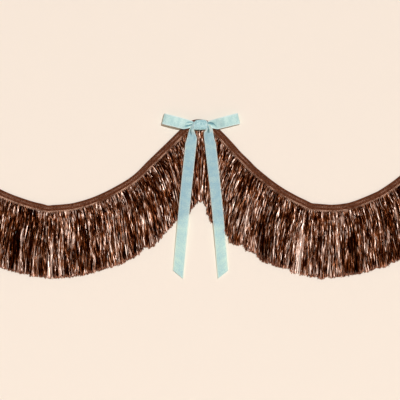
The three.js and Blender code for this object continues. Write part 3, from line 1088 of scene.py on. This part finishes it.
def chain_tree():
    tree, board, given, sockets = new_tree("chain stitch", FACE_CHAIN)
    points = line_points(board, given, "LENGTH", "Length", given["Pitch"])
    ring = circle(board, LINK_SIDES, 1.0)
    thin = circle(board, THREAD_SIDES, given["Thread size"] / given["Link length"] * 2.0)
    link = geometry(board, "CurveToMesh", {"Curve": ring, "Profile Curve": thin})
    upright = geometry(board, "Transform", {"Geometry": link, "Rotation": (math.pi / 2, 0, 0)})
    one, two, _ = white(board, geometry(board, "InputIndex", {}), given["Seed"] * 1.0)
    turn = -(named(board, "slope") + (one - 0.5) * 0.35)
    size = 0.85 + two * 0.3
    width = given["Link length"] * 0.5
    scale = board.combine(width * size, width, given["Link height"] * 0.5 * size)
    rotation = board.combine(0.0, turn, 0.0)
    links = copies(board, points, upright, Rotation=rotation, Scale=scale)
    finish_tree(board, links, True, given["Thread"])
    return tree, sockets


chain_stitches = chain_tree()
print("chain tree:", len(chain_stitches[0].nodes), "nodes")


# %% Sew the stitches
SEAM_END = 2 * MM


def sew(name, made_tree, rise, depth, sizes):
    mesh = header_mesh(name + "_line", LEFT_END + SEAM_END, RIGHT_END - SEAM_END, rise, depth)
    piece = grown(name, mesh, made_tree, sizes)
    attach(piece, "banner")
    print(piece.name, len(piece.data.polygons), "faces")
    return piece


bars = sew("heading_stitches", bar_stitches, -4.0 * MM, 2.45 * MM, BAR_SIZES)
upper_row = sew("face_chain_stitch", chain_stitches, 0.9 * MM, 2.55 * MM, FACE_CHAIN)
lower_row = sew("edge_chain_stitch", chain_stitches, -3.7 * MM, 2.6 * MM, EDGE_CHAIN)

# %% [markdown]
# ## Finish: velvet ribbon
# The ribbon is a pale blue-green velvet. Its nap is short and dense, so it looks matt and
# slightly mottled, and a little light from the wall comes through it: it is mint over the bright
# wall and bluer over the dark fringe. Both woven edges are paler and smoother than the nap, and
# part of that paleness is a painted highlight. Folds are painted too: a pale painted highlight on
# their ridges and painted shade in their valleys.

# %% Velvet material
# Painted light: tails, loops and knot are one velvet, and their three colour sets differ to paint
# how light falls on each part (bluer tails, greener loops, a darker and more mottled knot). The
# share of light let through differs for a real reason: loops and knot lie in more than one layer.
TAIL_LOW = (0.37, 0.67, 0.88, 1.0)
TAIL_HIGH = (0.71, 0.94, 1.0, 1.0)
BOW_LOW = (0.46, 0.70, 0.69, 1.0)
BOW_HIGH = (0.68, 0.89, 0.84, 1.0)
KNOT_LOW = (0.26, 0.50, 0.55, 1.0)
KNOT_HIGH = (0.70, 0.92, 0.90, 1.0)
VELVET_THROUGH = (0.97, 1.0, 0.80, 1.0)
VELVET_CREASE_SHADE = (0.10, 0.27, 0.33, 1.0)
PALE_EDGE_AND_HIGHLIGHT = (0.95, 1.0, 1.0, 1.0)
RIBBON_WIDTH = 15.6 * MM
RIBBON_THICKNESS = 0.8 * MM


def velvet_material(name, low, high, through_share, patches, pale_edge_share):
    material, board = new_material(name)
    across, along = cloth_places(board)
    fold = attribute(board, "fold")
    nap = noise_of(board, board.combine(across, along, 0.0), 0.55, 3.0, 0.65)
    brushed = noise_of(board, board.combine(across * 0.06, along * 0.13, 5.0), 1.0, 2.0)
    pile = noise_of(board, board.combine(across, along, 9.0), 5.0, 2.0, 0.6)
    tone = (nap - 0.5) * 0.9 + (brushed - 0.5) * patches + (pile - 0.5) * 0.25
    shade = board.step(tone, -0.22, 0.22)
    colour = mix_colour(board, shade, low, high)
    # Both edges are paler: partly the woven edges' own colour and partly a painted highlight
    from_edge = RIBBON_WIDTH / 2 / MM - across.math("ABSOLUTE")
    edge = 1.0 - board.step(from_edge, 0.3, 1.7)
    # Painted light from the folds: a pale painted highlight on ridges and dark painted shade in
    # valleys
    ridge = board.step(fold, 0.05, 0.6) * 0.6
    colour = mix_colour(board, (edge * pale_edge_share).math("MAXIMUM", ridge), colour, PALE_EDGE_AND_HIGHLIGHT)
    colour = mix_colour(board, board.step(fold, -0.05, -0.75) * 0.9, colour, VELVET_CREASE_SHADE)
    nap_surface = {
        "Base Color": colour,
        "Roughness": 0.85,
        "Specular IOR Level": 0.15,
        "Normal": bump_of(board, pile * 0.7 + nap * 0.8, 0.6, 0.5 * MM),
    }
    front = principled(board, nap_surface)
    through = board.wire("ShaderNodeBsdfTranslucent", 0, None, {"Color": VELVET_THROUGH})
    surface = board.wire("ShaderNodeMixShader", 0, None, {0: through_share, 1: front, 2: through})
    finish_with(board, surface)
    return material


tail_velvet = velvet_material(
    "pale velvet, one layer", TAIL_LOW, TAIL_HIGH, through_share=0.47, patches=0.5, pale_edge_share=0.8
)
bow_velvet = velvet_material(
    "pale velvet, folded", BOW_LOW, BOW_HIGH, through_share=0.05, patches=0.7, pale_edge_share=0.5
)
knot_velvet = velvet_material(
    "pale velvet, wrapped", KNOT_LOW, KNOT_HIGH, through_share=0.05, patches=0.5, pale_edge_share=0.3
)
print("velvet material:", len(bow_velvet.node_tree.nodes), "nodes")

# %% [markdown]
# ## Knot
# The knot is the ribbon wrapped once round the middle of the bow, drawn in at both ends. Its
# section is a rounded box that gets lower and flatter towards the ends.

# %% Knot sizes
KNOT_LENGTH = 18.8 * MM
KNOT_HEIGHT = 14.4 * MM
KNOT_DEPTH = 9 * MM
KNOT_WALL = 0.8 * MM
KNOT_BACK = BINDING_THICKNESS + 0.3 * MM
KNOT_MIDDLE = -3.6 * MM
KNOT_SHIFT = -0.3 * MM
KNOT_SKEW = 0.5 * MM
KNOT_CORNER = 1.2 * MM
KNOT_END_DROP = 1.1 * MM
KNOT_END_HEIGHT = 0.78
KNOT_END_DEPTH = 0.86
KNOT_ROUND_POWER = 4
KNOT_FADE_POWER = 3.5
KNOT_CREASE = 0.2 * MM
KNOT_HALF_TURN = 22 * MM
KNOT_ROWS = 72
KNOT_COLUMNS = 44


# %% Knot
def knot_grid(inset):
    angles = np.linspace(0, 2 * math.pi, KNOT_ROWS, endpoint=False)
    shares = np.linspace(-1, 1, KNOT_COLUMNS)
    angle, share = np.meshgrid(angles, shares, indexing="ij")
    fade = np.abs(share) ** KNOT_FADE_POWER
    half_height = KNOT_HEIGHT / 2 * mix(1, KNOT_END_HEIGHT, fade) - inset
    half_depth = KNOT_DEPTH / 2 * mix(1, KNOT_END_DEPTH, fade)

    def squared(value):
        return np.sign(value) * np.abs(value) ** (2 / KNOT_ROUND_POWER)

    depth = KNOT_BACK + half_depth + (half_depth - inset) * squared(np.cos(angle))
    z = KNOT_MIDDLE - KNOT_END_DROP * fade + half_height * squared(np.sin(angle))
    top = np.clip(np.sin(angle), 0, 1)
    z += (KNOT_SKEW * share - KNOT_CORNER * ramp(-0.6, -1, share)) * top
    x = KNOT_SHIFT + KNOT_LENGTH / 2 * share
    crease = np.cos(share * 8.3 + 0.7 * np.sin(angle * 2)) + 0.6 * np.cos(share * 17 + angle)
    depth -= KNOT_CREASE * crease * np.clip(np.cos(angle), 0, 1)
    flat = np.stack([(angle / math.pi - 1) * KNOT_HALF_TURN, x], -1)
    return np.stack([x, -depth, z], -1), flat


def make_knot():
    middle, flat = knot_grid(KNOT_WALL / 2)
    across = np.stack([flat[..., 1] - KNOT_SHIFT, flat[..., 0]], -1)
    across[..., 0] *= RIBBON_WIDTH / KNOT_LENGTH
    piece = cloth_shell("bow_knot_band", middle, across, KNOT_WALL, knot_velvet, ring_rows=True)
    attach(piece, "banner")
    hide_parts("bow_knot")
    return piece


knot = make_knot()
print("knot:", len(knot.data.polygons), "faces")

# %% [markdown]
# ## Ribbons
# Loops and tails are both a ribbon with two edges. Each row of a ribbon is named by where its
# two edges are and how deep it lies, a smooth curve joins the rows, and pleats are pushed out
# along the surface's own normal where the ribbon is gathered.

# %% Ribbon helpers
RIBBON_COLUMNS = 31
CURVE_STEPS = 24


def smooth_rows(rows, count):
    """Evenly spaced rows along a smooth curve through these rows of numbers."""
    rows = np.asarray(rows, float)
    ends = np.concatenate([[2 * rows[0] - rows[1]], rows, [2 * rows[-1] - rows[-2]]])
    fine = []
    for i in range(len(rows) - 1):
        a, b, c, d = ends[i : i + 4]
        t = np.linspace(0, 1, CURVE_STEPS, endpoint=False)[:, None]
        bend = (2 * a - 5 * b + 4 * c - d) * t**2 + (3 * b - a - 3 * c + d) * t**3
        fine.append(0.5 * (2 * b + (c - a) * t + bend))
    fine = np.concatenate([*fine, rows[-1:]])
    run = travelled(np.linalg.norm(np.diff(fine, axis=0), axis=1))
    target = np.linspace(0, run[-1], count)
    return np.stack([np.interp(target, run, column) for column in fine.T], -1)


def ribbon_grid(side, rows, count, bow=0.0):
    """Points between two edges. A row is first edge x and z, second edge x and z, and depth."""
    rows = smooth_rows(rows, count)
    share = np.linspace(0, 1, RIBBON_COLUMNS)[None, :]
    x = mix(rows[:, 0:1], rows[:, 2:3], share)
    z = mix(rows[:, 1:2], rows[:, 3:4], share)
    depth = rows[:, 4:5] + bow * (1 - (2 * share - 1) ** 2)
    points = np.stack([side * x, -depth + 0 * x, z], -1)
    middle = points[:, RIBBON_COLUMNS // 2]
    run = travelled(np.linalg.norm(np.diff(middle, axis=0), axis=1))
    return points, run[:, None], share


def folded(points, distance, share, folds):
    """Pushes folds out of a ribbon. Returns the new points and how raised each one is, which the
    velvet paints into its colour: a pale painted highlight on ridges and painted shade in valleys.

    A fold is a line of (distance, share across) points, a width as a share and a height. It
    fades over its last third. A valley has a negative height.
    """
    relief_and_shade = np.zeros(points.shape[:2])
    for line, width, height in folds:
        places = [place for place, _ in line]
        middle = np.interp(distance / MM, places, [across for _, across in line])
        way = (distance / MM - places[0]) / (places[-1] - places[0])
        taper = ramp(-0.1, 0.15, way) * (1 - ramp(0.6, 1.05, way))
        relief_and_shade += height * taper * np.exp(-(((share - middle) / width) ** 2))
    normal = np.cross(np.gradient(points, axis=0), np.gradient(points, axis=1))
    normal /= np.linalg.norm(normal, axis=2, keepdims=True)
    normal *= np.sign(-normal[..., 1:2] + 1e-9)
    return points + normal * relief_and_shade[..., None] * MM, relief_and_shade


def ribbon_piece(name, points, run, share, relief_and_shade, velvet):
    flat = np.stack([(share - 0.5) * RIBBON_WIDTH + 0 * run, run + 0 * share], -1)
    piece = cloth_shell(name, points, flat, RIBBON_THICKNESS, velvet)
    # The fold attribute carries the relief and the painted shade, which the velvet paints as
    # highlight and shade
    layer = piece.data.attributes.new("fold", "FLOAT", "POINT")
    layer.data.foreach_set("value", np.concatenate([relief_and_shade.ravel()] * 2).astype(np.float32))
    return piece


# %% [markdown]
# ## Loops
# Each loop is one run of ribbon: out along the wall, over at its outer fold, and back in front
# as a fuller leaf. Both leaves are gathered where they enter the knot, and the creases of that
# gathering fan out and fade.

# %% Loop sizes
KNOT_END = KNOT_LENGTH / 2
LOOP_TILT = math.radians(13.5)
LOOP_AXIS_LOW = -5.5 * MM
LOOP_BACK = 3.3 * MM
NECK_BACK = 4.85 * MM
NECK_FRONT = 6.7 * MM
LOOP_ROWS = 120

# Half widths above and below the loop's axis in millimetres: in the knot, and when open
LOOP_UPPER = (5.8, 7.1)
LOOP_LOWER = (0.8, 7.6)
LOOP_FLARE = 0.65


# %% Loops
def loop_row(out, depth):
    """The loop's two edges, gathered near the knot and full width beyond."""
    flare = LOOP_FLARE * np.clip((out / MM - 20) / 30, 0, 1)
    upper = mix(*LOOP_UPPER, ramp(8, 20, out / MM)) + flare
    lower = mix(*LOOP_LOWER, ramp(9, 22, out / MM))
    middle_z = LOOP_AXIS_LOW + math.tan(LOOP_TILT) * (out - KNOT_END)
    lean, up = math.sin(LOOP_TILT), math.cos(LOOP_TILT)
    return (
        out + lean * lower * MM,
        middle_z - up * lower * MM,
        out - lean * upper * MM,
        middle_z + up * upper * MM,
        depth,
    )


def make_loop(name, side, reach, bulge, tip, folds, shades):
    plan = [
        (KNOT_END - 5 * MM, NECK_BACK),
        (KNOT_END, NECK_BACK),
        (KNOT_END + 6 * MM, mix(NECK_BACK, LOOP_BACK, 0.5)),
        (KNOT_END + 16 * MM, LOOP_BACK),
        (reach * 0.66, LOOP_BACK),
        (reach - 4.5 * MM, LOOP_BACK + 0.9 * MM),
        (reach - 0.6 * MM, mix(LOOP_BACK, bulge, 0.3)),
        (reach, mix(LOOP_BACK, bulge, 0.45)),
        (reach - 1.2 * MM, mix(LOOP_BACK, bulge, 0.7)),
        (reach - 7 * MM, bulge - 0.7 * MM),
        (reach * 0.64, bulge),
        (reach * 0.5, bulge - 1.2 * MM),
        (KNOT_END + 13 * MM, mix(NECK_FRONT, bulge, 0.45)),
        (KNOT_END + 7 * MM, NECK_FRONT + 0.5 * MM),
        (KNOT_END, NECK_FRONT),
        (KNOT_END - 5 * MM, NECK_FRONT),
    ]
    rows = [loop_row(out, depth) for out, depth in plan]
    points, run, share = ribbon_grid(side, rows, LOOP_ROWS)
    from_knot = run[-1] - 5 * MM - run
    leaning = ramp(4, 30, from_knot / MM) * (1 - ramp(46, 62, from_knot / MM))
    points[..., 1] -= tip * leaning * (share - 0.5)
    points, relief_and_shade = folded(points, from_knot, share, folds)
    # Painted shade: the loop's colour is darker towards the knot and in the listed patches
    relief_and_shade -= 0.2 * (1 - ramp(0, 15, from_knot / MM))
    for place, height, length, width, shade in shades:
        relief_and_shade -= shade * np.exp(
            -(((from_knot / MM - place) / length) ** 2) - ((share - height) / width) ** 2
        )
    piece = ribbon_piece(name + "_ribbon", points, run, share, relief_and_shade, bow_velvet)
    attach(piece, "banner")
    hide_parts(name)
    print(piece.name, "ribbon length", round(float(run[-1, 0]) / MM, 1), "mm")


# Folds of the front leaf: points of (mm from the knot, share of the width from the lower
# edge), then width as a share and height in mm
LEFT_LOOP_FOLDS = (
    (((-1, 0.80), (2.4, 0.58), (4.4, 0.42), (8, 0.34), (14, 0.30)), 0.10, -0.8),
    (((-1, 0.95), (5, 0.80), (14, 0.62)), 0.09, -0.45),
    (((0, 0.70), (5, 0.60), (12, 0.48)), 0.09, 0.5),
    (((0, 0.35), (3, 0.15), (8, 0.08)), 0.10, 0.5),
)
RIGHT_LOOP_FOLDS = (
    (((-1, 0.80), (2, 0.78), (6, 0.72), (10, 0.54), (13, 0.25), (15, 0.05)), 0.085, -0.95),
    (((-1, 0.50), (1.3, 0.36), (6, 0.10), (10, 0.0)), 0.14, 0.7),
    (((0, 1.0), (7, 0.93), (14, 0.80)), 0.08, 0.4),
    (((2, 0.62), (7, 0.50), (11, 0.30)), 0.09, -0.35),
)
# Painted shade on the front leaf, in its colour only: mm from the knot, share of the width, how
# far that reaches both ways, and how dark
LEFT_LOOP_SHADES = ((14, 0.25, 8, 0.35, 0.18), (22, 0.10, 8, 0.40, 0.18))
RIGHT_LOOP_SHADES = (
    (21, 0.25, 5.5, 0.40, 0.34),
    (15, 0.8, 9, 0.5, 0.22),
    (42, 0.4, 3, 0.6, 0.18),
)
make_loop(
    "bow_loop_left",
    side=-1,
    reach=52.0 * MM,
    bulge=13.0 * MM,
    tip=-1.0 * MM,
    folds=LEFT_LOOP_FOLDS,
    shades=LEFT_LOOP_SHADES,
)
make_loop(
    "bow_loop_right",
    side=1,
    reach=53.4 * MM,
    bulge=11.0 * MM,
    tip=4.0 * MM,
    folds=RIGHT_LOOP_FOLDS,
    shades=RIGHT_LOOP_SHADES,
)

# %% [markdown]
# ## Tails
# Each tail leaves the knot's end, gathered and in front of its loop, turns down, opens to its
# full width and hangs over the fringe to a slanted cut.

# %% Tail sizes
TAIL_START = 11 * MM
TAIL_SPLAY = math.radians(5.65)
TAIL_LENGTH = 212.5 * MM
TAIL_CUT_ANGLE = math.radians(37.6)
TAIL_CURL = 0.6 * MM
TAIL_DEPTH = 7.85 * MM
TAIL_END_DEPTH = 1.5 * MM
TAIL_EASE = 120 * MM
TAIL_OPEN_AT = 22 * MM
PIVOT_HEIGHT = -7.466 * MM
TAIL_WAVE = 0.35 * MM
TAIL_WAVE_LENGTH = 23 * MM
NECK_HIDDEN = 3.5 * MM
TAIL_STATIONS = 24
TAIL_ROWS = 190

# Rows of the gathered neck in millimetres: inner edge x and z, outer edge x and z, and depth
LEFT_NECK = (
    (5.5, -6.6, 5.5, -3.2, 8.2),
    (8.6, -7.4, 8.8, -2.2, 8.5),
    (10.2, -8.2, 12.2, -3.6, 9.5),
    (9.8, -10.0, 14.2, -7.4, 9.9),
    (8.7, -12.4, 15.9, -11.2, 9.7),
    (7.3, -16.2, 17.2, -16.0, 9.1),
    (5.2, -22.0, 18.8, -22.0, 8.4),
)
RIGHT_NECK = (
    (5.5, -6.6, 5.5, -3.2, 8.2),
    (8.6, -7.4, 8.8, -2.2, 8.5),
    (9.6, -9.2, 13.4, -4.2, 9.5),
    (7.2, -11.2, 16.0, -7.8, 9.9),
    (5.4, -13.2, 17.3, -12.0, 9.7),
    (4.7, -16.6, 18.0, -16.4, 9.1),
    (4.9, -22.0, 19.1, -22.0, 8.4),
)


# %% Tails
def hanging_row(inner_down, outer_down, reach, bow_out):
    """The two edges of the open ribbon, at these distances down from the pivot."""
    row = []
    for down, edge in ((inner_down, -0.5), (outer_down, 0.5)):
        share = min(down / reach, 1)
        axis = TAIL_START + down * math.sin(TAIL_SPLAY) + bow_out * math.sin(math.pi * share)
        row += [axis + edge * RIBBON_WIDTH, PIVOT_HEIGHT - down * math.cos(TAIL_SPLAY)]
    middle = (inner_down + outer_down) / 2
    eased = ramp(reach - TAIL_EASE, reach, middle)
    wave = TAIL_WAVE * math.sin(middle / TAIL_WAVE_LENGTH)
    return (*row, mix(TAIL_DEPTH - TAIL_CURL, TAIL_END_DEPTH, eased) + wave)


def make_tail(name, side, neck, bow_out, folds):
    outer_length = TAIL_LENGTH - RIBBON_WIDTH * math.tan(TAIL_CUT_ANGLE)
    rows = [tuple(value * MM for value in row) for row in neck]
    for share in np.linspace(0, 1, TAIL_STATIONS):
        inner_down = mix(TAIL_OPEN_AT, TAIL_LENGTH, share)
        outer_down = mix(TAIL_OPEN_AT, outer_length, share)
        rows.append(hanging_row(inner_down, outer_down, TAIL_LENGTH, bow_out))
    points, run, share = ribbon_grid(side, rows, TAIL_ROWS, TAIL_CURL)
    points, relief_and_shade = folded(points, run - NECK_HIDDEN, share, folds)
    piece = ribbon_piece(name + "_ribbon", points, run, share, relief_and_shade, tail_velvet)
    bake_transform(piece)
    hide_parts(name)
    print(piece.name, "ribbon length", round(float(run[-1, 0]) / MM, 1), "mm")


# Folds of the necks, in the same form, with shares from the inner edge
LEFT_TAIL_FOLDS = (
    (((3, 0.66), (7, 0.73), (10, 0.69), (13, 0.60), (16, 0.54)), 0.12, -1.3),
    (((-1, 0.50), (3, 0.55), (6, 0.50)), 0.30, 0.5),
    (((5, 0.12), (9, 0.10), (15, 0.14)), 0.10, 0.6),
    (((7, 0.40), (11, 0.38), (17, 0.36)), 0.08, 0.4),
    (((9, 0.24), (14, 0.26), (24, 0.30)), 0.06, -0.4),
)
RIGHT_TAIL_FOLDS = (
    (((1.5, 0.22), (4, 0.32), (6, 0.41), (9, 0.48), (13, 0.48)), 0.11, -1.6),
    (((0, 0.80), (6, 0.80), (13, 0.72)), 0.15, 0.7),
    (((0, 0.05), (6, 0.14), (12, 0.20)), 0.11, 0.7),
    (((9, 0.30), (14, 0.30), (24, 0.34)), 0.06, -0.4),
)
make_tail("bow_tail_left", -1, LEFT_NECK, 0.5 * MM, LEFT_TAIL_FOLDS)
make_tail("bow_tail_right", 1, RIGHT_NECK, 1.3 * MM, RIGHT_TAIL_FOLDS)

# %% [markdown]
# ## Wall and light
# The backdrop is one pale sheet: the wall that the banner hangs on, and a floor far below it.
# It can be seen only from its front, so a view from behind looks through it at the back of the
# banner. The key light comes from the upper right, close to the camera, which draws the narrow
# warm shadow to the lower left of the bow. A second, very wide light shines from behind, through
# the ribbon.

# %% Backdrop
WALL_COLOUR = (0.88, 0.79, 0.69, 1.0)


def wall_material():
    material, board = new_material("pale wall")
    matt = {"Base Color": WALL_COLOUR, "Roughness": 0.9, "Specular IOR Level": 0.1}
    paint = principled(board, matt)
    clear = board.wire("ShaderNodeBsdfTransparent", 0)
    behind = board.wire("ShaderNodeNewGeometry", "Backfacing")
    surface = board.wire("ShaderNodeMixShader", 0, None, {0: behind, 1: paint, 2: clear})
    finish_with(board, surface)
    return material


WALL_HALF_WIDTH = 3.0
WALL_TOP = 2.2
FLOOR_LEVEL = -1.3
FLOOR_DEPTH = 4.0
CORNER_RADIUS = 0.4


def make_backdrop():
    turn = np.linspace(0, math.pi / 2, 12)
    corner = np.stack(
        [-CORNER_RADIUS * (1 - np.cos(turn)), FLOOR_LEVEL + CORNER_RADIUS * (1 - np.sin(turn))],
        -1,
    )
    side = np.concatenate([[[0, WALL_TOP]], corner, [[-FLOOR_DEPTH, FLOOR_LEVEL]]])
    points = []
    for y, z in side:
        points.append((-WALL_HALF_WIDTH, y, z))
        points.append((WALL_HALF_WIDTH, y, z))
    faces = grid_faces(len(side), 2, False, False)
    mesh = mesh_of("backdrop", points, faces, [(p[0], p[2]) for p in points])
    return new_piece("backdrop", mesh, wall_material())


backdrop = make_backdrop()
facing = backdrop.data.polygons[0].normal.y
if facing > 0:
    backdrop.data.flip_normals()
backdrop.visible_shadow = False
print("backdrop faces the viewer:", backdrop.data.polygons[0].normal.y < 0)


# %% Lamps
def add_sun(name, direction, strength, angle, colour):
    data = bpy.data.lights.new(name, "SUN")
    data.energy = strength
    data.angle = math.radians(angle)
    data.color = colour
    lamp = bpy.data.objects.new(name, data)
    lamp.rotation_euler = Vector(direction).to_track_quat("Z", "Y").to_euler()
    bpy.context.scene.collection.objects.link(lamp)


add_sun("key", (0.19, -1.0, 0.16), 2.5, 1.5, (0.95, 1.012, 1.052))
add_sun("rear", (0.1, 1.0, 0.2), 1.0, 60.0, (1.0, 0.93, 0.81))

world = bpy.data.worlds.new("studio")
bpy.context.scene.world = world
world.use_nodes = True
world.node_tree.nodes.clear()
sky = Board(world.node_tree)
glow = sky.wire(
    "ShaderNodeBackground", 0, None, {"Color": (1.0, 0.66, 0.51, 1.0), "Strength": 0.25}
)
sky.add("ShaderNodeOutputWorld", None, {"Surface": glow})
bpy.context.scene.view_settings.view_transform = "Standard"
